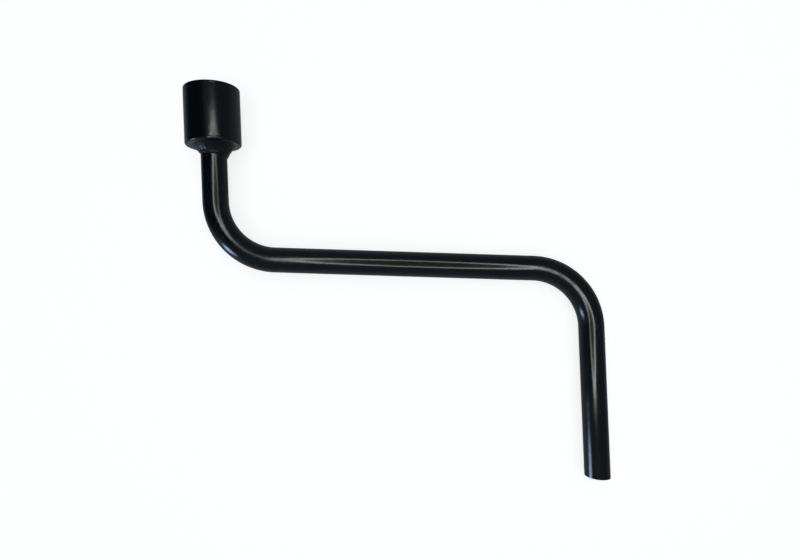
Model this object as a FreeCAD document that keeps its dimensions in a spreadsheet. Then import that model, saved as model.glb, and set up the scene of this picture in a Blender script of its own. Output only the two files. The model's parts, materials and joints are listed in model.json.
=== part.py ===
import FreeCAD, Part
import Sketcher
import math
import os

# A crank-shaped lug wrench: a round steel bar bent twice in one plane, with a hexagon socket
# welded on its upper end. The other end of the bar is the grip.
#
# The frame. The origin is the centre of the socket's mouth. +Y points out of the mouth along
# the drive axis, +X points from the drive axis towards the grip, and +Z is square to the plane
# that the crank is bent in. Lengths are in millimetres and angles in degrees.

DRIVING_DIMENSIONS = {
    # the bar, along its centre line from the socket to the grip's end
    "bar_diameter": 14.0,
    "neck_straight": 30.5,      # from the socket's shoulder to the first bend
    "bend_radius": 34.0,        # to the bar's centre line
    "bend_turn": 86.0,          # each bend turns this far, one each way
    "middle_straight": 144.0,
    "grip_straight": 84.5,
    "grip_end_round": 1.8,
    "bar_insertion": 6.5,       # how far the bar goes into the back of the socket
    "bar_end_chamfer": 1.0,
    # the socket
    "socket_diameter": 30.0,
    "socket_length": 31.5,
    "mouth_round": 0.8,
    "shoulder_round": 1.2,
    "hex_across_flats": 19.3,   # a 19 mm wheel nut with its clearance
    "hex_depth": 18.0,
    "lead_in_diameter": 23.0,   # the countersink that guides the nut in
    "lead_in_angle": 120.0,
    "relief_diameter": 18.0,    # room for the stud past the nut
    "relief_depth": 24.5,
    "drill_point_angle": 118.0,
    "bar_hole_diameter": 14.1,
    # the fillet weld that joins the socket's shoulder to the bar
    "weld_prep": 1.5,           # chamfer on the hole, filled by the weld's root
    "weld_width": 4.7,          # how far the bead reaches out over the shoulder
    "weld_height": 5.4,         # how far it reaches down the bar, on average
    "weld_slant": 1.2,          # the bead is longer than that towards +X and shorter away from it
    "weld_toe": 0.3,            # its thickness where it ends on the bar
}

SOLID_STATES = ("Invalid", "Error")
X_AXIS = -1                     # the sketch's own axes, as constraints number them
Y_AXIS = -2
START = 1                       # the points of a line or an arc, as constraints number them
END = 2
CENTRE = 3


def make_sheet(doc):
    """Put the driving dimensions in a spreadsheet, one alias a row."""
    sheet = doc.addObject("Spreadsheet::Sheet", "sizes")
    for row, (name, value) in enumerate(DRIVING_DIMENSIONS.items(), start=1):
        sheet.set(f"A{row}", name)
        sheet.set(f"B{row}", str(value))
        sheet.setAlias(f"B{row}", name)
    doc.recompute()
    return sheet


def make_body(doc, name, depth):
    """A body whose own origin is depth millimetres below the mouth on the drive axis."""
    body = doc.addObject("PartDesign::Body", name)
    body.Label = name
    body.setExpression("Placement.Base.y", f"-({depth})")
    return body


def origin_feature(body, role):
    """One of the body's own origin planes or axes."""
    return next(part for part in body.Origin.OriginFeatures if part.Role == role)


def make_sketch(body, name, plane):
    """A sketch on one of the body's origin planes."""
    sketch = body.newObject("Sketcher::SketchObject", name)
    sketch.AttachmentSupport = [(origin_feature(body, plane), "")]
    sketch.MapMode = "FlatFace"
    return sketch


def bind(sketch, name, expression, kind, *where):
    """Add a named dimension to a sketch and tie it to the sheet."""
    value = float(sketch.evalExpression(expression))
    if kind == "Angle":
        value = math.radians(value)
    index = sketch.addConstraint(Sketcher.Constraint(kind, *where, value))
    sketch.renameConstraint(index, name)
    sketch.setExpression(f"Constraints.{name}", expression)


def add_circle(sketch, name, expression):
    """A circle about the sketch's origin, its diameter tied to the sheet."""
    radius = float(sketch.evalExpression(expression)) / 2
    circle = sketch.addGeometry(Part.Circle(FreeCAD.Vector(), FreeCAD.Vector(0, 0, 1), radius))
    sketch.addConstraint(Sketcher.Constraint("Coincident", circle, CENTRE, X_AXIS, START))
    bind(sketch, name, expression, "Diameter", circle)


def add_profile(sketch, corners):
    """A closed outline to be turned about the sketch's Y axis.

    Each corner is (name, radius, height), and both sizes are expressions of the sheet. A radius
    of "0" puts the corner on the axis.
    """
    places = []
    for name, radius, height in corners:
        across = float(sketch.evalExpression(radius))
        up = float(sketch.evalExpression(height))
        places.append(FreeCAD.Vector(across, up, 0))
    lines = []
    for place, following in zip(places, places[1:] + places[:1]):
        lines.append(sketch.addGeometry(Part.LineSegment(place, following)))
    for line, following in zip(lines, lines[1:] + lines[:1]):
        sketch.addConstraint(Sketcher.Constraint("Coincident", line, END, following, START))
    for line, (name, radius, height) in zip(lines, corners):
        if radius == "0":
            sketch.addConstraint(Sketcher.Constraint("PointOnObject", line, START, Y_AXIS))
        else:
            bind(sketch, f"{name}_radius", radius, "DistanceX", X_AXIS, START, line, START)
        if height == "0":
            sketch.addConstraint(Sketcher.Constraint("PointOnObject", line, START, X_AXIS))
        else:
            bind(sketch, f"{name}_height", height, "DistanceY", X_AXIS, START, line, START)


def ring_edge(feature, height, radius):
    """The name of the feature's round edge at a height along the body's Y axis."""
    for number, edge in enumerate(feature.Shape.Edges, start=1):
        curve = edge.Curve
        if not isinstance(curve, Part.Circle):
            continue
        if abs(curve.Center.y - height) < 1e-4 and abs(curve.Radius - radius) < 1e-4:
            return f"Edge{number}"
    raise ValueError(f"{feature.Name} has no round edge of radius {radius} at {height}")


def must_cut(doc, before, after):
    """Recompute, and stop if the feature after took nothing away from the one before it."""
    doc.recompute()
    if after.Shape.Volume > before.Shape.Volume - 1e-3:
        raise ValueError(f"{after.Name} cuts nothing")


def make_socket(doc, sheet):
    """The turned socket: a round blank, bored, broached to a hexagon and chamfered for the weld."""
    body = make_body(doc, "socket", "0")

    outline = make_sketch(body, "socket_outline", "XZ_Plane")
    add_circle(outline, "diameter", "sizes.socket_diameter")
    blank = body.newObject("PartDesign::Pad", "socket_blank")
    blank.Profile = outline
    blank.setExpression("Length", "sizes.socket_length")
    doc.recompute()

    bore_outline = make_sketch(body, "bore_outline", "XY_Plane")
    hole = "sizes.bar_hole_diameter / 2"
    relief = "sizes.relief_diameter / 2"
    prep = "sizes.weld_prep"
    drill_point = f"({relief} - {hole}) / tan(sizes.drill_point_angle / 2 * 1 deg)"
    lead_in = "(sizes.lead_in_diameter - sizes.relief_diameter) / 2"
    lead_in_depth = f"{lead_in} / tan(sizes.lead_in_angle / 2 * 1 deg)"
    add_profile(bore_outline, [
        ("mouth_centre", "0", "0"),
        ("lead_in_rim", "sizes.lead_in_diameter / 2", "0"),
        ("lead_in_foot", relief, f"-({lead_in_depth})"),
        ("relief_foot", relief, "-sizes.relief_depth"),
        ("bar_hole_top", hole, f"-sizes.relief_depth - ({drill_point})"),
        ("bar_hole_foot", hole, f"{prep} - sizes.socket_length"),
        ("prep_rim", f"{hole} + {prep}", "-sizes.socket_length"),
        ("back_centre", "0", "-sizes.socket_length"),
    ])
    bore = body.newObject("PartDesign::Groove", "stepped_bore")
    bore.Profile = bore_outline
    bore.ReferenceAxis = (bore_outline, ["V_Axis"])
    must_cut(doc, blank, bore)

    hexagon = make_sketch(body, "hexagon", "XZ_Plane")
    add_hexagon(hexagon, "sizes.hex_across_flats")
    broach = body.newObject("PartDesign::Pocket", "hex_broach")
    broach.Profile = hexagon
    broach.Reversed = True
    broach.setExpression("Length", "sizes.hex_depth")
    must_cut(doc, bore, broach)

    outer = sheet.socket_diameter / 2
    shoulder = body.newObject("PartDesign::Fillet", "shoulder_edge")
    shoulder.Base = (broach, [ring_edge(broach, -sheet.socket_length, outer)])
    shoulder.setExpression("Radius", "sizes.shoulder_round")
    must_cut(doc, broach, shoulder)

    mouth = body.newObject("PartDesign::Fillet", "mouth_edge")
    mouth.Base = (shoulder, [ring_edge(shoulder, 0.0, outer)])
    mouth.setExpression("Radius", "sizes.mouth_round")
    must_cut(doc, shoulder, mouth)
    return body


def add_hexagon(sketch, across_flats):
    """A regular hexagon about the sketch's origin, with two of its corners on the Y axis."""
    corner_radius = float(sketch.evalExpression(across_flats)) / math.sqrt(3)
    angles = [math.radians(90 + 60 * turn) for turn in range(6)]
    corners = [FreeCAD.Vector(math.cos(a), math.sin(a), 0) * corner_radius for a in angles]
    circle = sketch.addGeometry(
        Part.Circle(FreeCAD.Vector(), FreeCAD.Vector(0, 0, 1), corner_radius), True)
    sketch.addConstraint(Sketcher.Constraint("Coincident", circle, CENTRE, X_AXIS, START))
    sides = []
    for corner, following in zip(corners, corners[1:] + corners[:1]):
        sides.append(sketch.addGeometry(Part.LineSegment(corner, following)))
    for side, following in zip(sides, sides[1:] + sides[:1]):
        sketch.addConstraint(Sketcher.Constraint("Coincident", side, END, following, START))
        sketch.addConstraint(Sketcher.Constraint("PointOnObject", side, END, circle))
    for side in sides[1:]:
        sketch.addConstraint(Sketcher.Constraint("Equal", sides[0], side))
    sketch.addConstraint(Sketcher.Constraint("PointOnObject", sides[0], START, Y_AXIS))
    bind(sketch, "across_corners", f"2 * {across_flats} / sqrt(3)", "Diameter", circle)


def add_crank_path(sketch, sheet):
    """The bar's centre line: three straights joined by two equal bends that turn opposite ways."""
    straights = [
        ("neck", "sizes.neck_straight + sizes.bar_insertion"),
        ("middle", "sizes.middle_straight"),
        ("grip", "sizes.grip_straight"),
    ]
    radius = sheet.bend_radius
    turn = math.radians(sheet.bend_turn)
    place = FreeCAD.Vector()
    heading = math.radians(-90)
    side = 1                    # the first bend turns towards +X, the second one back
    pieces = []
    for name, length in straights:
        ahead = FreeCAD.Vector(math.cos(heading), math.sin(heading), 0)
        reached = place + ahead * float(sketch.evalExpression(length))
        line = sketch.addGeometry(Part.LineSegment(place, reached))
        bind(sketch, f"{name}_length", length, "Distance", line)
        pieces.append((line, START, END))
        if name == "grip":
            break
        across = FreeCAD.Vector(-math.sin(heading), math.cos(heading), 0) * side
        centre = reached + across * radius
        first = math.atan2(-across.y, -across.x)
        low, high = sorted((first, first + side * turn))
        circle = Part.Circle(centre, FreeCAD.Vector(0, 0, 1), radius)
        arc = sketch.addGeometry(Part.ArcOfCircle(circle, low, high))
        bind(sketch, f"{name}_bend", "sizes.bend_radius", "Radius", arc)
        ends = (START, END) if side > 0 else (END, START)
        pieces.append((arc, *ends))
        heading += side * turn
        place = centre - FreeCAD.Vector(-math.sin(heading), math.cos(heading), 0) * side * radius
        side = -side
    for (piece, _, last), (following, first, _) in zip(pieces, pieces[1:]):
        sketch.addConstraint(Sketcher.Constraint("Tangent", piece, last, following, first))
    neck, middle, grip = (pieces[number][0] for number in (0, 2, 4))
    sketch.addConstraint(Sketcher.Constraint("Coincident", neck, START, X_AXIS, START))
    sketch.addConstraint(Sketcher.Constraint("Vertical", neck))
    sketch.addConstraint(Sketcher.Constraint("Parallel", neck, grip))
    bind(sketch, "turn", "180 - sizes.bend_turn", "Angle", middle, START, neck, END)


def make_handle_rod(doc, sheet):
    """The bar: neck, crank and grip in one piece of round steel."""
    body = make_body(doc, "handle_rod", "sizes.socket_length - sizes.bar_insertion")

    path = make_sketch(body, "crank_path", "XY_Plane")
    add_crank_path(path, sheet)
    section = make_sketch(body, "bar_section", "XZ_Plane")
    add_circle(section, "diameter", "sizes.bar_diameter")
    bar = body.newObject("PartDesign::AdditivePipe", "bent_bar")
    bar.Profile = section
    bar.Spine = (path, [])
    doc.recompute()

    radius = sheet.bar_diameter / 2
    chamfer = body.newObject("PartDesign::Chamfer", "inserted_end")
    chamfer.Base = (bar, [ring_edge(bar, 0.0, radius)])
    chamfer.setExpression("Size", "sizes.bar_end_chamfer")
    must_cut(doc, bar, chamfer)

    lowest = min(vertex.Y for vertex in chamfer.Shape.Vertexes)
    rounding = body.newObject("PartDesign::Fillet", "grip_end")
    rounding.Base = (chamfer, [ring_edge(chamfer, lowest, radius)])
    rounding.setExpression("Radius", "sizes.grip_end_round")
    must_cut(doc, chamfer, rounding)
    return body


def make_weld_bead(doc, sheet):
    """The fillet weld round the bar: a slanted ring over the shoulder, and the root below it."""
    body = make_body(doc, "weld_bead", "sizes.socket_length")

    rim = make_sketch(body, "bead_on_shoulder", "XZ_Plane")
    add_circle(rim, "diameter", "sizes.bar_diameter + 2 * sizes.weld_width")
    toe = make_sketch(body, "bead_on_bar", "XZ_Plane")
    add_circle(toe, "diameter", "sizes.bar_diameter + 2 * sizes.weld_toe")
    toe.setExpression("AttachmentOffset.Base.z", "sizes.weld_height")
    toe.setExpression("AttachmentOffset.Rotation.Axis.x", "0")
    toe.setExpression("AttachmentOffset.Rotation.Axis.y", "1")
    toe.setExpression("AttachmentOffset.Rotation.Axis.z", "0")
    toe.setExpression(
        "AttachmentOffset.Rotation.Angle",
        "-atan(sizes.weld_slant / (sizes.bar_diameter / 2))")
    bead = body.newObject("PartDesign::AdditiveLoft", "bead")
    bead.Profile = rim
    bead.Sections = [toe]
    bead.Ruled = True
    doc.recompute()

    root_outline = make_sketch(body, "root_outline", "XY_Plane")
    hole = "sizes.bar_hole_diameter / 2"
    prep = "sizes.weld_prep"
    add_profile(root_outline, [
        ("centre", "0", "0"),
        ("prep_rim", f"{hole} + {prep}", "0"),
        ("prep_foot", hole, prep),
        ("root_centre", "0", prep),
    ])
    root = body.newObject("PartDesign::Revolution", "root")
    root.Profile = root_outline
    root.ReferenceAxis = (root_outline, ["V_Axis"])
    doc.recompute()

    bar_outline = make_sketch(body, "bar_outline", "XZ_Plane")
    add_circle(bar_outline, "diameter", "sizes.bar_diameter")
    passage = body.newObject("PartDesign::Pocket", "bar_passage")
    passage.Profile = bar_outline
    passage.Type = "ThroughAll"
    passage.Midplane = True
    must_cut(doc, root, passage)
    return body


def check(doc, bodies):
    """Stop if any object failed, or a piece isn't one valid solid."""
    for thing in doc.Objects:
        if any(state in thing.State for state in SOLID_STATES):
            raise ValueError(f"{thing.Name} failed: {thing.State}")
    for body in bodies:
        shape = body.Shape
        if shape.isNull() or not shape.isValid() or len(shape.Solids) != 1:
            raise ValueError(f"{body.Label} isn't one valid solid")


def main():
    doc = FreeCAD.newDocument("lug_wrench")
    sheet = make_sheet(doc)
    bodies = [
        make_handle_rod(doc, sheet),
        make_socket(doc, sheet),
        make_weld_bead(doc, sheet),
    ]
    doc.recompute()
    check(doc, bodies)
    os.makedirs("parts", exist_ok=True)
    for body in bodies:
        body.Shape.exportStep(f"parts/{body.Label}.step")
        box = body.Shape.BoundBox
        print(f"{body.Label}: {body.Shape.Volume:.1f} mm3, "
              f"x {box.XMin:.2f} to {box.XMax:.2f}, y {box.YMin:.2f} to {box.YMax:.2f}, "
              f"z {box.ZMin:.2f} to {box.ZMax:.2f}")


main()
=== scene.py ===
import json
import math

import bpy
import numpy as np
from mathutils import Euler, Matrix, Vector, noise


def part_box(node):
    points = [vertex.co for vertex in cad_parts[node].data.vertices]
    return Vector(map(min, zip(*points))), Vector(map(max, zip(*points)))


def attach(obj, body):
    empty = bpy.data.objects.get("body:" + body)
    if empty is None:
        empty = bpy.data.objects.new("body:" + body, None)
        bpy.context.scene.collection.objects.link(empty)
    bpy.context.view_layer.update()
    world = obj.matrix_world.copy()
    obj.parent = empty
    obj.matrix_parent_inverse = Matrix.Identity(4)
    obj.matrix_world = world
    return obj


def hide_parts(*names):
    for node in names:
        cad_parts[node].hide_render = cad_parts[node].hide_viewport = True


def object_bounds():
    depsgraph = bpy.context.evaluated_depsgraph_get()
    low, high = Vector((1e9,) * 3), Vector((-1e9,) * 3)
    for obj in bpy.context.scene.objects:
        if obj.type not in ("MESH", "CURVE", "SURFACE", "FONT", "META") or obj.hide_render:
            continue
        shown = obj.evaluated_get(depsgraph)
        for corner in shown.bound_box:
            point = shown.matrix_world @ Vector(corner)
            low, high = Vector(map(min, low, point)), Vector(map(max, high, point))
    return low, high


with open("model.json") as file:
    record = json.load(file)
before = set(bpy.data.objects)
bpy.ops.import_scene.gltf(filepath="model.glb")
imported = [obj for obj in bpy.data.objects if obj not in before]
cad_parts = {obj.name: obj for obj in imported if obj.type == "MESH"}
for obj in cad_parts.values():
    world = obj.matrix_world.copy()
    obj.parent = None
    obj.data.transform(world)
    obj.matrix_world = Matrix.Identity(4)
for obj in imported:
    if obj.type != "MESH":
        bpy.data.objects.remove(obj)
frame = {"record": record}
cad_low, cad_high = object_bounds()

# A crank-shaped lug wrench, lying on its side: a round bar bent twice, with a hexagon socket
# welded on one end, all in gloss black enamel. The origin is the centre of the socket's mouth,
# +Y points out of the mouth, +X points towards the grip and +Z is up. Lengths are in metres.

MM = 0.001
BODY = "root"
MOUNTS = {mount["name"]: mount for mount in frame["record"]["mounts"]}


def mount_span(name):
    """The lowest and highest Y of a round mount's wall."""
    half = MOUNTS[name]["dims"]["length_mm"] * MM / 2
    middle = MOUNTS[name]["pos_m"][1]
    return middle - half, middle + half


# ------------------------------------------------------------ sizes, from the frame where it has any

BAR_RADIUS = MOUNTS["grip_bar"]["dims"]["r_mm"] * MM
GRIP_X = MOUNTS["grip_bar"]["pos_m"][0]
GRIP_LOW_Y, GRIP_HIGH_Y = mount_span("grip_bar")
BAR_FOOT_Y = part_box("handle_rod")[0].y
BAR_TOP_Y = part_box("handle_rod")[1].y
GRIP_END_ROUND = GRIP_LOW_Y - BAR_FOOT_Y
BAR_END_CHAMFER = 1.0 * MM
BEND_RADIUS = 34.0 * MM
BEND_TURN = math.radians(86.0)
FOOT_SLANT = 1.1 * MM                             # the grip's end is shorter by this on one side
FOOT_SLANT_START = 2.0 * MM                       # up to here from the foot the slant is full
FOOT_SLANT_END = 9.0 * MM                         # and from here on there is none
BAR_FILM = 0.05 * MM                              # the most that the enamel draws back

SOCKET_RADIUS = MOUNTS["socket_nose"]["dims"]["r_mm"] * MM
SOCKET_FOOT_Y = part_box("socket")[0].y
NOSE_LOW_Y, NOSE_HIGH_Y = mount_span("socket_nose")
MOUTH_ROUND = -NOSE_HIGH_Y
SHOULDER_ROUND = NOSE_LOW_Y - SOCKET_FOOT_Y
RELIEF_RADIUS = MOUNTS["stud_relief"]["dims"]["r_mm"] * MM
RELIEF_LOW_Y, HEX_FOOT_Y = mount_span("stud_relief")
HEX_APOTHEM = frame["record"]["mount_notes"]["hex_socket"]["across_flats_mm"] * MM / 2
LEAD_IN_RADIUS = 11.5 * MM
LEAD_IN_SLOPE = math.tan(math.radians(60.0))      # inwards for each step down
DRILL_SLOPE = math.tan(math.radians(59.0))
BAR_HOLE_RADIUS = 7.05 * MM
HEX_CORNER_ROUND = 0.3 * MM
DIP_DEPTH = 0.035 * MM                            # the enamel draws back near the edges
DIP_WIDTH = 0.55 * MM
DIP_FROM_END = 0.9 * MM
SOCKET_SIDES = 240
EDGE_STEPS = 10
OUTER_WALL_STEPS = 120
LEAD_IN_STEPS = 8
HEX_WALL_STEPS = 24

WELD_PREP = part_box("weld_bead")[1].y - SOCKET_FOOT_Y
WELD_RIM_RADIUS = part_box("weld_bead")[1].x
WELD_HEIGHT = 5.4 * MM
WELD_SLANT = 1.2 * MM
WELD_TOE = 0.3 * MM                               # how far its toe stands off the bar
WELD_SINK = 0.30 * MM                             # how hollow it is between its rim and its toe
WELD_RIPPLES = 31
WELD_SIDES = 360
WELD_STEPS = 36

NIB_RADIUS = 0.50 * MM
NIBS_PER_SQUARE_METRE = 20000.0
NIB_CLUSTERS_PER_METRE = 55.0


# ------------------------------------------------------------ building node trees

class Nodes:
    """Adds nodes to a tree. An input's value is either a number or another node's output."""

    def __init__(self, tree):
        self.tree = tree

    def add(self, kind, inputs=None, **settings):
        node = self.tree.nodes.new(kind)
        for name, value in settings.items():
            setattr(node, name, value)
        for key, value in (inputs or {}).items():
            if isinstance(value, bpy.types.NodeSocket):
                self.tree.links.new(value, node.inputs[key])
            else:
                node.inputs[key].default_value = value
        return node

    def math(self, operation, *values):
        return self.add("ShaderNodeMath", dict(enumerate(values)), operation=operation).outputs[0]

    def vector_math(self, operation, *values):
        node = self.add("ShaderNodeVectorMath", dict(enumerate(values)), operation=operation)
        return node.outputs["Value" if operation in ("LENGTH", "DOT_PRODUCT") else "Vector"]

    def scaled(self, vector, factor):
        node = self.add("ShaderNodeVectorMath", {0: vector, "Scale": factor}, operation="SCALE")
        return node.outputs["Vector"]

    def total(self, *values):
        """The sum of two or more values."""
        result = values[0]
        for value in values[1:]:
            result = self.math("ADD", result, value)
        return result

    def times(self, first, second):
        return self.math("MULTIPLY", first, second)

    def minus(self, first, second):
        return self.math("SUBTRACT", first, second)

    def span(self, value, low, high, new_low=0.0, new_high=1.0, smooth=False):
        """The value's place between low and high, carried over to the new range and held there."""
        limits = {"From Min": low, "From Max": high, "To Min": new_low, "To Max": new_high}
        kind = "SMOOTHSTEP" if smooth else "LINEAR"
        node = self.add("ShaderNodeMapRange", {"Value": value, **limits}, interpolation_type=kind)
        return node.outputs["Result"]

    def noise(self, vector, scale, detail=2.0, roughness=0.5, distortion=0.0):
        """A noise of that many waves a metre, from 0 to 1."""
        shape = {"Scale": scale, "Detail": detail, "Roughness": roughness, "Distortion": distortion}
        return self.add("ShaderNodeTexNoise", {"Vector": vector, **shape}).outputs[0]

    def parts(self, vector):
        """The vector's X, Y and Z."""
        return self.add("ShaderNodeSeparateXYZ", {0: vector}).outputs

    def mix(self, factor, first, second):
        """From the first number to the second, which are the node's inputs 2 and 3."""
        return self.add("ShaderNodeMix", {0: factor, 2: first, 3: second}).outputs[0]

    def mix_colour(self, factor, first, second):
        """From the first colour to the second, which are the node's inputs 6 and 7."""
        node = self.add("ShaderNodeMix", {0: factor, 6: first, 7: second}, data_type="RGBA")
        return node.outputs[2]

    def ramp(self, factor, stops):
        """The colour at that place among the stops, each a place from 0 to 1 and a colour."""
        node = self.add("ShaderNodeValToRGB", {0: factor})
        elements = node.color_ramp.elements
        elements[0].position, elements[0].color = stops[0]
        elements[1].position, elements[1].color = stops[-1]
        for share, tint in stops[1:-1]:
            elements.new(share).color = tint
        return node.outputs["Color"]


def colour(red, green, blue):
    return (red, green, blue, 1.0)


# ------------------------------------------------------------ materials

ENAMEL_DEEP = colour(0.0014, 0.0016, 0.0019)
ENAMEL_THIN = colour(0.0032, 0.0035, 0.0039)
DUST = colour(0.050, 0.049, 0.046)
STEEL = colour(0.30, 0.29, 0.27)
RUST_SHADOW = colour(0.075, 0.050, 0.035)
FLOOR_DARK = colour(0.40, 0.40, 0.398)
FLOOR_LIGHT = colour(0.44, 0.44, 0.438)
FLOOR_GLOW = colour(1.0, 0.997, 0.99)
FLOOR_GLOW_STRENGTH = 0.80

PEEL_DEPTH = 0.045 * MM                           # a height of 1 in the enamel
WELD_PEEL_DEPTH = 0.055 * MM
FLOOR_GRAIN_DEPTH = 0.02 * MM


def new_material(name):
    """A material, a builder for its nodes, its Principled shader and the place on the piece."""
    material = bpy.data.materials.new(name)
    material.use_nodes = True
    nodes = Nodes(material.node_tree)
    shader = material.node_tree.nodes["Principled BSDF"]
    place = nodes.add("ShaderNodeTexCoord").outputs["Object"]
    return material, nodes, shader, place


def enamel_layers(nodes, place):
    """Colour, roughness and height of sprayed gloss black enamel.

    The film is thicker in some places than in others, it has the fine peel of a sprayed coat,
    a little dust settled in it while it dried, and scuffs have dulled it here and there.
    """
    film = nodes.noise(place, 55.0, 3.0, 0.6)
    peel = nodes.noise(place, 210.0, 1.0, 0.4)
    grain = nodes.noise(place, 900.0, 2.0, 0.5)
    dust = nodes.span(nodes.noise(place, 1900.0, 1.0), 0.70, 0.78)
    scuffs = nodes.span(nodes.noise(place, 38.0, 4.0, 0.7, 1.2), 0.60, 0.72)
    body = nodes.mix_colour(film, ENAMEL_DEEP, ENAMEL_THIN)
    dusted = nodes.mix_colour(nodes.times(dust, 0.25), body, DUST)
    roughness = nodes.total(nodes.span(film, 0.3, 0.7, 0.13, 0.20), nodes.times(scuffs, 0.10))
    height = nodes.total(peel, nodes.times(grain, 0.10), nodes.times(dust, 0.12))
    return dusted, roughness, height


def finish_shader(nodes, shader, tint, roughness, height, depth):
    """Join colour, roughness and a height of that many metres to the shader."""
    bump = nodes.add("ShaderNodeBump", {"Height": height, "Distance": depth, "Strength": 1.0})
    links = nodes.tree.links
    links.new(tint, shader.inputs["Base Color"])
    links.new(roughness, shader.inputs["Roughness"])
    links.new(bump.outputs["Normal"], shader.inputs["Normal"])


def bar_enamel():
    """The enamel on the drawn bar."""
    material, nodes, shader, place = new_material("bar_enamel")
    tint, roughness, height = enamel_layers(nodes, place)
    finish_shader(nodes, shader, tint, roughness, height, PEEL_DEPTH)
    return material


def socket_enamel():
    """The enamel on the socket, a little mottled, and worn to the steel in patches inside it."""
    material, nodes, shader, place = new_material("socket_enamel")
    tint, roughness, height = enamel_layers(nodes, place)
    mottle = nodes.noise(place, 640.0, 2.0, 0.6)
    roughness = nodes.total(roughness, nodes.span(mottle, 0.3, 0.7, -0.03, 0.02))
    height = nodes.total(height, nodes.times(mottle, 0.35))

    # inside the lead-in, the broach's streaks run along the axis and show where the film is gone
    x, _, z = nodes.parts(place)
    square_to_axis = nodes.add("ShaderNodeCombineXYZ", {0: x, 1: z}).outputs[0]
    from_axis = nodes.vector_math("LENGTH", square_to_axis)
    inside = nodes.span(from_axis, LEAD_IN_RADIUS + 0.4 * MM, LEAD_IN_RADIUS - 0.2 * MM)
    streaks = nodes.add("ShaderNodeMapping", {"Vector": place, "Scale": (1.0, 0.06, 1.0)})
    broach = nodes.noise(streaks.outputs[0], 1400.0, 3.0, 0.6)
    patches = nodes.noise(place, 260.0, 4.0, 0.65)
    bare = nodes.times(inside, nodes.span(patches, 0.46, 0.62))
    steel = nodes.mix_colour(broach, RUST_SHADOW, STEEL)
    tint = nodes.mix_colour(nodes.times(bare, 0.8), tint, steel)
    roughness = nodes.mix(inside, roughness, nodes.span(broach, 0.3, 0.7, 0.34, 0.52))
    height = nodes.total(height, nodes.times(inside, nodes.times(broach, 0.6)))
    nodes.tree.links.new(nodes.times(bare, 0.85), shader.inputs["Metallic"])
    finish_shader(nodes, shader, tint, roughness, height, PEEL_DEPTH)
    return material


def weld_enamel():
    """The enamel over the weld, coarser and duller than the rest."""
    material, nodes, shader, place = new_material("weld_enamel")
    tint, roughness, height = enamel_layers(nodes, place)
    spatter = nodes.noise(place, 620.0, 3.0, 0.6)
    roughness = nodes.total(roughness, nodes.span(spatter, 0.35, 0.6, 0.06, 0.24))
    height = nodes.total(height, nodes.times(spatter, 1.6))
    shader.inputs["Specular IOR Level"].default_value = 0.38
    finish_shader(nodes, shader, tint, roughness, height, WELD_PEEL_DEPTH)
    return material


def floor_paper():
    """A pale matt sweep, lit from behind as well so that shadows on it stay faint."""
    material, nodes, shader, place = new_material("floor_paper")
    cloud = nodes.noise(place, 3.0, 3.0)
    grain = nodes.noise(place, 900.0, 3.0)
    tint = nodes.mix_colour(cloud, FLOOR_DARK, FLOOR_LIGHT)
    roughness = nodes.span(cloud, 0.3, 0.7, 0.85, 0.95)
    shader.inputs["Emission Color"].default_value = FLOOR_GLOW
    shader.inputs["Emission Strength"].default_value = FLOOR_GLOW_STRENGTH
    finish_shader(nodes, shader, tint, roughness, grain, FLOOR_GRAIN_DEPTH)
    return material


# ------------------------------------------------------------ meshes

SHARP_ANGLE = math.radians(32)


def link_object(name, data):
    piece = bpy.data.objects.new(name, data)
    bpy.context.scene.collection.objects.link(piece)
    return piece


def shade(mesh):
    """Smooth shading, broken at the edges that are really sharp."""
    mesh.polygons.foreach_set("use_smooth", [True] * len(mesh.polygons))
    mesh.set_sharp_from_angle(angle=SHARP_ANGLE)


def ring_mesh(name, rings):
    """A closed ring-shaped skin: rings of points about the Y axis, the last joined to the first."""
    ring_count, around, _ = rings.shape
    faces = []
    for ring in range(ring_count):
        here = ring * around
        there = (ring + 1) % ring_count * around
        for step in range(around):
            turned = (step + 1) % around
            faces.append((here + step, here + turned, there + turned, there + step))
    mesh = bpy.data.meshes.new(name)
    mesh.from_pydata(rings.reshape(-1, 3).tolist(), [], faces)
    mesh.update()
    shade(mesh)
    return mesh


def freeze(piece, name):
    """Turn an object and its modifiers into a plain mesh under that name."""
    graph = bpy.context.evaluated_depsgraph_get()
    mesh = bpy.data.meshes.new_from_object(piece.evaluated_get(graph))
    mesh.name = name
    shade(mesh)
    bpy.data.objects.remove(piece)
    return link_object(name, mesh)


def new_geometry_tree(name, sizes):
    """A Geometry Nodes tree that takes a mesh and named sizes, and gives a mesh."""
    tree = bpy.data.node_groups.new(name, "GeometryNodeTree")
    tree.interface.new_socket("Geometry", in_out="INPUT", socket_type="NodeSocketGeometry")
    for label, value in sizes.items():
        kind = "NodeSocketInt" if isinstance(value, int) else "NodeSocketFloat"
        tree.interface.new_socket(label, in_out="INPUT", socket_type=kind)
    tree.interface.new_socket("Geometry", in_out="OUTPUT", socket_type="NodeSocketGeometry")
    nodes = Nodes(tree)
    return tree, nodes, nodes.add("NodeGroupInput").outputs


def finish_tree(nodes, geometry, material):
    """End a tree with a plain, smooth, painted mesh."""
    real = nodes.add("GeometryNodeRealizeInstances", {0: geometry})
    smooth = nodes.add("GeometryNodeSetShadeSmooth", {"Geometry": real.outputs[0]})
    painted = nodes.add(
        "GeometryNodeSetMaterial", {"Geometry": smooth.outputs[0], "Material": material})
    nodes.add("NodeGroupOutput", {0: painted.outputs[0]})


def run_tree(piece, tree, sizes):
    """Give the piece the tree as a modifier, with its sizes set by each input's identifier."""
    modifier = piece.modifiers.new(tree.name, "NODES")
    modifier.node_group = tree
    for item in tree.interface.items_tree:
        if item.in_out == "INPUT" and item.name in sizes:
            modifier[item.identifier] = sizes[item.name]


# ------------------------------------------------------------ the bent bar

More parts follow.
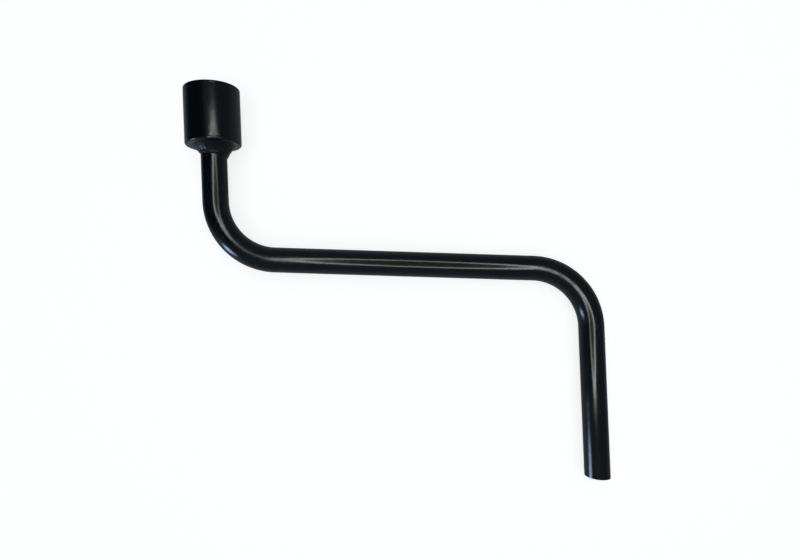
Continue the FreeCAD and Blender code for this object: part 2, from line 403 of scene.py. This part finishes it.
def crank_corners():
    """The centre line's four corners, before its two bends are rounded."""
    tangent = BEND_RADIUS * math.tan(BEND_TURN / 2)
    low = GRIP_HIGH_Y + tangent
    fall = GRIP_X / math.tan(BEND_TURN)
    return [(0, BAR_TOP_Y, 0), (0, low + fall, 0), (GRIP_X, low, 0), (GRIP_X, BAR_FOOT_Y, 0)]


def stations_along(nodes, size, centre_line, length):
    """Points along the centre line, packed closely towards both ends, and how far along each is."""
    line = nodes.add("GeometryNodeMeshLine", {"Count": size["Stations"]})
    index = nodes.add("GeometryNodeInputIndex").outputs[0]
    place = nodes.math("DIVIDE", index, nodes.minus(size["Stations"], 1.0))
    swing = nodes.math("SINE", nodes.times(place, 2 * math.pi))
    reached = nodes.times(nodes.minus(place, nodes.times(swing, size["End Packing"])), length)
    sample = nodes.add(
        "GeometryNodeSampleCurve", {"Curves": centre_line, "Length": reached}, mode="LENGTH")
    placed = nodes.add(
        "GeometryNodeSetPosition",
        {"Geometry": line.outputs[0], "Position": sample.outputs["Position"]})
    return nodes.add("GeometryNodeMeshToCurve", {"Mesh": placed.outputs[0]}).outputs[0], reached


def share_of_radius(nodes, size, reached, length):
    """The bar's radius at each station: it is thinner at the chamfered top and the rounded foot."""
    from_top = nodes.math("MINIMUM", reached, size["Top Chamfer"])
    top = nodes.minus(from_top, size["Top Chamfer"])
    from_foot = nodes.math("MINIMUM", nodes.minus(length, reached), size["Foot Round"])
    inset = nodes.minus(size["Foot Round"], from_foot)
    squares = nodes.minus(
        nodes.math("POWER", size["Foot Round"], 2.0), nodes.math("POWER", inset, 2.0))
    width = nodes.math("SQRT", nodes.math("MAXIMUM", squares, 0.0))
    foot = nodes.minus(width, size["Foot Round"])
    thinned = nodes.total(size["Bar Radius"], nodes.math("MINIMUM", top, foot))
    return nodes.math("DIVIDE", thinned, size["Bar Radius"])


def film_offset(nodes, size):
    """The enamel isn't quite even: the skin draws back by up to the film's swell."""
    where = nodes.add("GeometryNodeInputPosition").outputs[0]
    normal = nodes.add("GeometryNodeInputNormal").outputs[0]
    swell = nodes.minus(nodes.noise(where, 120.0, 2.0, 0.5), 1.0)
    return nodes.scaled(normal, nodes.times(swell, size["Film Swell"]))


def slant_offset(nodes, size):
    """The foot was sheared a little out of square, so it is shorter on the crank's side."""
    x, y, _ = nodes.parts(nodes.add("GeometryNodeInputPosition").outputs[0])
    near_foot = nodes.span(y, size["Slant End Y"], size["Slant Start Y"])
    crank_side = nodes.span(x, size["Grip Far X"], size["Grip Near X"])
    rise = nodes.times(nodes.times(near_foot, crank_side), size["Foot Slant"])
    return nodes.add("ShaderNodeCombineXYZ", {1: rise}).outputs[0]


def bent_bar_tree(sizes, material):
    """Round the corners of the centre line, sweep the bar along it and finish both of its ends."""
    tree, nodes, size = new_geometry_tree("bent_bar", sizes)
    corners = nodes.add("GeometryNodeMeshToCurve", {"Mesh": size["Geometry"]})
    rounded = nodes.add(
        "GeometryNodeFilletCurve",
        {"Curve": corners.outputs[0], "Radius": size["Bend Radius"], "Count": size["Bend Steps"]},
        mode="POLY").outputs[0]
    length = nodes.add("GeometryNodeCurveLength", {0: rounded}).outputs[0]
    centre_line, reached = stations_along(nodes, size, rounded, length)
    tapered = nodes.add(
        "GeometryNodeSetCurveRadius",
        {"Curve": centre_line, "Radius": share_of_radius(nodes, size, reached, length)})
    section = nodes.add(
        "GeometryNodeCurvePrimitiveCircle",
        {"Resolution": size["Sides"], "Radius": size["Bar Radius"]})
    skin = nodes.add(
        "GeometryNodeCurveToMesh",
        {"Curve": tapered.outputs[0], "Profile Curve": section.outputs[0], "Fill Caps": True})
    for offset in (film_offset(nodes, size), slant_offset(nodes, size)):
        skin = nodes.add(
            "GeometryNodeSetPosition", {"Geometry": skin.outputs[0], "Offset": offset})
    finish_tree(nodes, skin.outputs[0], material)
    return tree


def make_bar(material):
    sizes = {
        "Bar Radius": BAR_RADIUS,
        "Bend Radius": BEND_RADIUS,
        "Bend Steps": 64,
        "Stations": 420,
        "Sides": 112,
        "End Packing": 0.145,
        "Top Chamfer": BAR_END_CHAMFER,
        "Foot Round": GRIP_END_ROUND,
        "Foot Slant": FOOT_SLANT,
        "Slant Start Y": BAR_FOOT_Y + FOOT_SLANT_START,
        "Slant End Y": BAR_FOOT_Y + FOOT_SLANT_END,
        "Grip Near X": GRIP_X - BAR_RADIUS,
        "Grip Far X": GRIP_X + BAR_RADIUS,
        "Film Swell": BAR_FILM,
    }
    mesh = bpy.data.meshes.new("crank_corners")
    mesh.from_pydata(crank_corners(), [(0, 1), (1, 2), (2, 3)], [])
    bar = link_object("crank_corners", mesh)
    run_tree(bar, bent_bar_tree(sizes, material), sizes)
    return freeze(bar, "bent_bar")


# ------------------------------------------------------------ the socket

def arc(centre_radius, centre_y, size, first, last, steps):
    """(radius, y) along a rounded edge of the turned profile, with its angles in degrees."""
    angles = np.radians(np.linspace(first, last, steps))
    return [(centre_radius + size * math.cos(a), centre_y + size * math.sin(a)) for a in angles]


def stretch(start, end, steps):
    """(radius, y) along a straight of the turned profile, without its last point."""
    shares = np.arange(steps)[:, None] / steps
    start = np.array(start)
    return [tuple(point) for point in start + (np.array(end) - start) * shares]


def hex_radius(angle):
    """How far the hexagon's wall is from the axis, at an angle from one of its corners."""
    half_side = math.pi / 6
    turned = abs((angle + half_side) % (2 * half_side) - half_side)
    centre = (HEX_APOTHEM - HEX_CORNER_ROUND) / math.cos(half_side)
    tangent = math.atan2(
        HEX_CORNER_ROUND * math.sin(half_side), centre + HEX_CORNER_ROUND * math.cos(half_side))
    if turned > tangent:
        return HEX_APOTHEM / math.cos(half_side - turned)
    across = centre * math.sin(turned)
    return centre * math.cos(turned) + math.sqrt(HEX_CORNER_ROUND ** 2 - across ** 2)


def turned_ring(radius, y, angles):
    """A ring about the Y axis. The radius and y are numbers, or lists with one for each angle."""
    radius = np.broadcast_to(radius, angles.shape)
    y = np.broadcast_to(y, angles.shape)
    return np.stack([radius * np.sin(angles), y, radius * np.cos(angles)], axis=1)


def edge_dip(y):
    """How far the film draws back from the cylinder just short of its two ends."""
    from_end = min(y - NOSE_LOW_Y, NOSE_HIGH_Y - y)
    return DIP_DEPTH * math.exp(-((from_end - DIP_FROM_END) / DIP_WIDTH) ** 2)


def make_socket(material):
    """Turned outside, then the lead-in, the hexagon, the relief, the drill point and bar hole."""
    angles = np.arange(SOCKET_SIDES) * 2 * math.pi / SOCKET_SIDES
    shoulder_radius = SOCKET_RADIUS - SHOULDER_ROUND
    mouth_radius = SOCKET_RADIUS - MOUTH_ROUND
    prep_rim = (BAR_HOLE_RADIUS + WELD_PREP, SOCKET_FOOT_Y)
    wall_heights = np.linspace(NOSE_LOW_Y, NOSE_HIGH_Y, OUTER_WALL_STEPS)
    outside = (
        stretch(prep_rim, (shoulder_radius, SOCKET_FOOT_Y), 8)
        + arc(shoulder_radius, NOSE_LOW_Y, SHOULDER_ROUND, -90, 0, EDGE_STEPS)[:-1]
        + [(SOCKET_RADIUS - edge_dip(y), y) for y in wall_heights[:-1]]
        + arc(mouth_radius, NOSE_HIGH_Y, MOUTH_ROUND, 0, 90, EDGE_STEPS)[:-1]
        + stretch((mouth_radius, 0), (LEAD_IN_RADIUS, 0), 5))
    rings = [turned_ring(radius, y, angles) for radius, y in outside]

    wall = np.array([hex_radius(angle) for angle in angles])
    wall_top_y = (wall - LEAD_IN_RADIUS) / LEAD_IN_SLOPE
    for share in np.linspace(0, 1, LEAD_IN_STEPS)[:-1]:
        radius = LEAD_IN_RADIUS + (wall - LEAD_IN_RADIUS) * share
        rings.append(turned_ring(radius, wall_top_y * share, angles))
    for share in np.linspace(0, 1, HEX_WALL_STEPS):
        rings.append(turned_ring(wall, wall_top_y + (HEX_FOOT_Y - wall_top_y) * share, angles))

    drill_foot_y = RELIEF_LOW_Y - (RELIEF_RADIUS - BAR_HOLE_RADIUS) / DRILL_SLOPE
    prep_foot = (BAR_HOLE_RADIUS, SOCKET_FOOT_Y + WELD_PREP)
    cavity = (
        stretch((RELIEF_RADIUS, HEX_FOOT_Y), (RELIEF_RADIUS, RELIEF_LOW_Y), 8)
        + stretch((RELIEF_RADIUS, RELIEF_LOW_Y), (BAR_HOLE_RADIUS, drill_foot_y), 3)
        + stretch((BAR_HOLE_RADIUS, drill_foot_y), prep_foot, 5)
        + stretch(prep_foot, prep_rim, 3))
    rings += [turned_ring(radius, y, angles) for radius, y in cavity]
    mesh = ring_mesh("turned_socket", np.array(rings))
    mesh.materials.append(material)
    return link_object("turned_socket", mesh)


# ------------------------------------------------------------ the weld

def weld_skin(angle, share):
    """How far the bead is proud of a plain cone at an angle, from its rim (0) to its toe (1)."""
    spot = Vector((math.sin(angle) * 2.1, math.cos(angle) * 2.1, share * 1.3))
    wander = noise.noise(spot)
    lumps = noise.noise(spot * 3.1 + Vector((5.0, 0.0, 0.0)))
    beads = noise.noise(spot * 7.3 + Vector((0.0, 9.0, 0.0)))
    curl = 3.0 * (share - 0.5) ** 2
    ripple = math.sin(WELD_RIPPLES * angle + curl + 2.5 * wander)
    uneven = (0.12 * wander + 0.13 * lumps + 0.06 * beads + 0.03 * ripple) * MM

    # a low lip runs round just short of the toe, highest on the upper side
    lip_height = (0.12 + 0.22 * max(0.0, math.cos(angle))) * MM
    lip = lip_height * math.exp(-((share - 0.86) / 0.06) ** 2)
    return math.sin(math.pi * share) * (uneven - WELD_SINK) + lip


def make_weld(material):
    """A fillet run round the bar, longer on the grip's side, with its root in the weld prep."""
    angles = np.arange(WELD_SIDES) * 2 * math.pi / WELD_SIDES
    toe_radius = BAR_RADIUS + WELD_TOE
    toe_y = SOCKET_FOOT_Y - WELD_HEIGHT - WELD_SLANT * np.sin(angles)
    slope = math.atan2(WELD_RIM_RADIUS - toe_radius, WELD_HEIGHT)
    rings = []
    for share in np.linspace(0, 1, WELD_STEPS):
        proud = np.array([weld_skin(angle, share) for angle in angles])
        radius = WELD_RIM_RADIUS + (toe_radius - WELD_RIM_RADIUS) * share + proud * math.cos(slope)
        y = SOCKET_FOOT_Y + (toe_y - SOCKET_FOOT_Y) * share - proud * math.sin(slope)
        rings.append(turned_ring(radius, y, angles))
    root_y = SOCKET_FOOT_Y + WELD_PREP
    rings.append(turned_ring(BAR_RADIUS, toe_y, angles))
    rings.append(turned_ring(BAR_RADIUS, root_y, angles))
    rings.append(turned_ring(BAR_HOLE_RADIUS, root_y, angles))
    rings.append(turned_ring(BAR_HOLE_RADIUS + WELD_PREP, SOCKET_FOOT_Y, angles))
    mesh = ring_mesh("weld_run", np.array(rings)[::-1])
    mesh.materials.append(material)
    return link_object("weld_run", mesh)


# ------------------------------------------------------------ specks of dust in the enamel

def paint_nibs_tree(sizes, material):
    """Sprinkle small flat specks over the upper side of a skin, in loose clusters."""
    tree, nodes, size = new_geometry_tree("paint_nibs", sizes)
    normal = nodes.add("GeometryNodeInputNormal").outputs[0]
    rise = nodes.parts(normal)[2]
    upward = nodes.math("GREATER_THAN", rise, size["Lowest Rise"])
    off_the_top = nodes.math("LESS_THAN", rise, size["Highest Rise"])
    where = nodes.add("GeometryNodeInputPosition").outputs[0]
    cluster = nodes.span(nodes.noise(where, size["Clusters"], 1.0), 0.46, 0.60, 0.25, 3.0)
    points = nodes.add(
        "GeometryNodeDistributePointsOnFaces",
        {"Mesh": size["Geometry"], "Selection": nodes.times(upward, off_the_top),
         "Density": nodes.times(size["Density"], cluster), "Seed": size["Seed"]})
    speck = nodes.add(
        "GeometryNodeMeshIcoSphere", {"Radius": size["Speck Radius"], "Subdivisions": 3})
    spread = nodes.add(
        "FunctionNodeRandomValue", {2: 0.35, 3: 1.0, "Seed": size["Seed"]}, data_type="FLOAT")
    flat = nodes.add("ShaderNodeCombineXYZ", {0: 1.0, 1: 0.8, 2: size["Flatness"]})
    scale = nodes.scaled(flat.outputs[0], spread.outputs[1])
    specks = nodes.add(
        "GeometryNodeInstanceOnPoints",
        {"Points": points.outputs["Points"], "Instance": speck.outputs[0],
         "Rotation": points.outputs["Rotation"], "Scale": scale})
    finish_tree(nodes, specks.outputs[0], material)
    return tree


def make_nibs(name, skin, highest_rise, seed, material):
    """Specks on a skin's upper side, up to where its normal rises by that much."""
    sizes = {
        "Lowest Rise": 0.25,
        "Highest Rise": highest_rise,
        "Density": NIBS_PER_SQUARE_METRE,
        "Clusters": NIB_CLUSTERS_PER_METRE,
        "Speck Radius": NIB_RADIUS,
        "Flatness": 0.28,
        "Seed": seed,
    }
    nibs = link_object("nib_skin", skin.data.copy())
    run_tree(nibs, paint_nibs_tree(sizes, material), sizes)
    return freeze(nibs, name)


# ------------------------------------------------------------ stage: floor, lights and camera

CAMERA_PLACE = Vector((93.73, -111.68, 289.06)) * MM
CAMERA_TURN = Euler((math.radians(0.44), math.radians(-1.31), math.radians(-2.24)))
CAMERA_LENS = 23.31
FLOOR_HALF = 4.0

RING_LAMP_PLACE = Vector((123, -86, 290)) * MM
RING_LAMP_HALF = (152 * MM, 163 * MM)
RING_LAMP_STRENGTH = 10.0
RING_LAMP_FOCUS = 3.0
RING_LAMP_TINTS = [
    (0.00, colour(0.020, 0.022, 0.020)),
    (0.60, colour(0.030, 0.034, 0.026)),
    (0.80, colour(0.070, 0.080, 0.056)),
    (0.83, colour(0.94, 1.0, 0.94)),
    (0.97, colour(0.94, 1.0, 0.94)),
    (1.00, colour(0.020, 0.022, 0.024)),
]
WINDOW_AZIMUTH = math.radians(-151.9)
WINDOW_ELEVATION = math.radians(7)
WINDOW_DISTANCE = 1.2
WINDOW_HALF = (0.165, 0.44)
WINDOW_STRENGTH = 12.0
WINDOW_FOCUS = 1.0
WINDOW_TINTS = [
    (0.00, colour(0.60, 0.81, 1.0)),
    (0.45, colour(0.42, 0.64, 0.94)),
    (0.80, colour(0.08, 0.13, 0.21)),
    (1.00, colour(0.014, 0.022, 0.032)),
]
OVERHEAD_SIZE = 2.0
OVERHEAD_HEIGHT = 1.5
OVERHEAD_WATTS = 12.0

ROOM_TINTS = [                                    # from straight down (0) to straight up (1)
    (0.06, colour(0.22, 0.26, 0.28)),
    (0.14, colour(0.25, 0.30, 0.33)),
    (0.25, colour(0.26, 0.32, 0.36)),
    (0.33, colour(0.26, 0.33, 0.38)),
    (0.41, colour(0.22, 0.30, 0.355)),
    (0.50, colour(0.17, 0.245, 0.32)),
    (0.58, colour(0.14, 0.21, 0.28)),
    (0.67, colour(0.13, 0.20, 0.27)),
    (0.80, colour(0.13, 0.19, 0.24)),
]
DARK_SIDE = Vector((-0.94, 0.34, 0.0))
DARK_TINT = colour(0.006, 0.020, 0.042)
FAR_SIDE = Vector((0.96, 0.26, 0.0))
FAR_TINT = (0.70, 0.63, 0.60)
SEEN_ROOM = colour(0.90, 0.90, 0.90)


def make_camera():
    camera = link_object("camera", bpy.data.cameras.new("camera"))
    camera.location = CAMERA_PLACE
    camera.rotation_euler = CAMERA_TURN
    camera.data.lens = CAMERA_LENS
    camera.data.sensor_width = 36.0
    camera.data.clip_start = 0.01
    bpy.context.scene.camera = camera


def make_floor():
    """A floor that touches the socket's underside and the grip's, as the wrench lies on it."""
    tilt = math.asin((SOCKET_RADIUS - BAR_RADIUS) / GRIP_X)
    corners = [(FLOOR_HALF * x, FLOOR_HALF * y, 0) for x, y in ((-1, -1), (1, -1), (1, 1), (-1, 1))]
    mesh = bpy.data.meshes.new("floor")
    mesh.from_pydata(corners, [], [(0, 1, 2, 3)])
    mesh.materials.append(floor_paper())
    floor = link_object("floor", mesh)
    floor.rotation_euler = (0, -tilt, 0)
    floor.location = (0, 0, -SOCKET_RADIUS / math.cos(tilt))
    floor.visible_glossy = False


def glow_material(name, strength, tints, focus):
    """Light that goes through the tints from the middle of a flat shape (0) to its edge (1).

    It is strongest square to the shape, and falls off with that power of the slant's cosine.
    """
    material = bpy.data.materials.new(name)
    material.use_nodes = True
    nodes = Nodes(material.node_tree)
    place = nodes.add("ShaderNodeTexCoord").outputs["UV"]
    tint = nodes.ramp(nodes.vector_math("LENGTH", place), tints)
    slant = nodes.add("ShaderNodeLayerWeight", {"Blend": 0.5}).outputs["Facing"]
    cosine = nodes.minus(1.0, slant)
    power = nodes.times(nodes.math("POWER", cosine, focus), strength)
    glow = nodes.add("ShaderNodeEmission", {"Color": tint, "Strength": power})
    output = material.node_tree.nodes["Material Output"]
    nodes.tree.links.new(glow.outputs[0], output.inputs["Surface"])
    return material


def make_glow(name, place, turn, halves, material):
    """A flat ellipse that only the gloss shows. Its UV map runs from 0 in the middle to 1."""
    around = 128
    angles = np.arange(around) * 2 * math.pi / around
    rim = np.stack([np.cos(angles), np.sin(angles)], axis=1)
    spots = [(0.0, 0.0)] + rim.tolist()
    faces = [(0, 1 + step, 1 + (step + 1) % around) for step in range(around)]
    mesh = bpy.data.meshes.new(name)
    mesh.from_pydata([(x * halves[0], y * halves[1], 0) for x, y in spots], [], faces)
    layer = mesh.uv_layers.new(name="from_middle")
    for loop in mesh.loops:
        layer.data[loop.index].uv = spots[loop.vertex_index]
    mesh.materials.append(material)
    glow = link_object(name, mesh)
    glow.location = place
    glow.rotation_euler = turn
    glow.visible_camera = False
    glow.visible_diffuse = False
    glow.visible_shadow = False


def make_lights():
    """A ring lamp round the lens, a cool window low to one side, and a soft light overhead."""
    middle = (cad_low + cad_high) / 2
    ring_glow = glow_material(
        "ring_lamp_glow", RING_LAMP_STRENGTH, RING_LAMP_TINTS, RING_LAMP_FOCUS)
    make_glow("ring_lamp", RING_LAMP_PLACE, (0, 0, 0), RING_LAMP_HALF, ring_glow)

    level = math.cos(WINDOW_ELEVATION)
    away = Vector((level * math.cos(WINDOW_AZIMUTH), level * math.sin(WINDOW_AZIMUTH),
                   math.sin(WINDOW_ELEVATION)))
    turn = away.to_track_quat("Z", "Y").to_euler()
    window_glow = glow_material("window_glow", WINDOW_STRENGTH, WINDOW_TINTS, WINDOW_FOCUS)
    make_glow("window", middle + away * WINDOW_DISTANCE, turn, WINDOW_HALF, window_glow)

    light = bpy.data.lights.new("overhead", "AREA")
    light.size = OVERHEAD_SIZE
    light.energy = OVERHEAD_WATTS
    overhead = link_object("overhead", light)
    overhead.location = middle + Vector((0, 0, OVERHEAD_HEIGHT))
    overhead.visible_glossy = False


def make_world():
    """A dim room for the enamel to reflect, darkest behind the socket. The lens sees it pale."""
    world = bpy.data.worlds.new("room")
    bpy.context.scene.world = world
    world.use_nodes = True
    nodes = Nodes(world.node_tree)
    direction = nodes.add("ShaderNodeTexCoord").outputs["Generated"]
    rise = nodes.parts(direction)[2]
    room = nodes.ramp(nodes.span(rise, -1, 1), ROOM_TINTS)

    far = nodes.span(nodes.vector_math("DOT_PRODUCT", direction, FAR_SIDE), -0.2, 0.9)
    room = nodes.mix_colour(far, room, nodes.vector_math("MULTIPLY", room, FAR_TINT))

    flattened = nodes.vector_math("MULTIPLY", direction, (1.0, 1.0, 0.0))
    level = nodes.vector_math("NORMALIZE", flattened)
    across = nodes.span(nodes.vector_math("DOT_PRODUCT", level, DARK_SIDE), 0.72, 0.97, smooth=True)
    dark = nodes.times(across, nodes.span(rise, -0.70, 0.05))
    room = nodes.mix_colour(dark, room, DARK_TINT)

    seen = nodes.add("ShaderNodeLightPath").outputs["Is Camera Ray"]
    tint = nodes.mix_colour(seen, room, SEEN_ROOM)
    nodes.tree.links.new(tint, world.node_tree.nodes["Background"].inputs["Color"])


def make_stage():
    make_camera()
    make_floor()
    make_lights()
    make_world()
    bpy.context.scene.view_settings.view_transform = "Standard"


# ------------------------------------------------------------ the wrench

def mount_piece(piece):
    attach(piece, BODY)


enamel_on_bar = bar_enamel()
enamel_on_socket = socket_enamel()

bar = make_bar(enamel_on_bar)
mount_piece(bar)
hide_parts("handle_rod")

socket = make_socket(enamel_on_socket)
mount_piece(socket)
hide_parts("socket")

weld = make_weld(weld_enamel())
mount_piece(weld)
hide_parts("weld_bead")

mount_piece(make_nibs("bar_nibs", bar, 1.1, 5, enamel_on_bar))
mount_piece(make_nibs("socket_nibs", socket, 0.97, 9, enamel_on_socket))

make_stage()
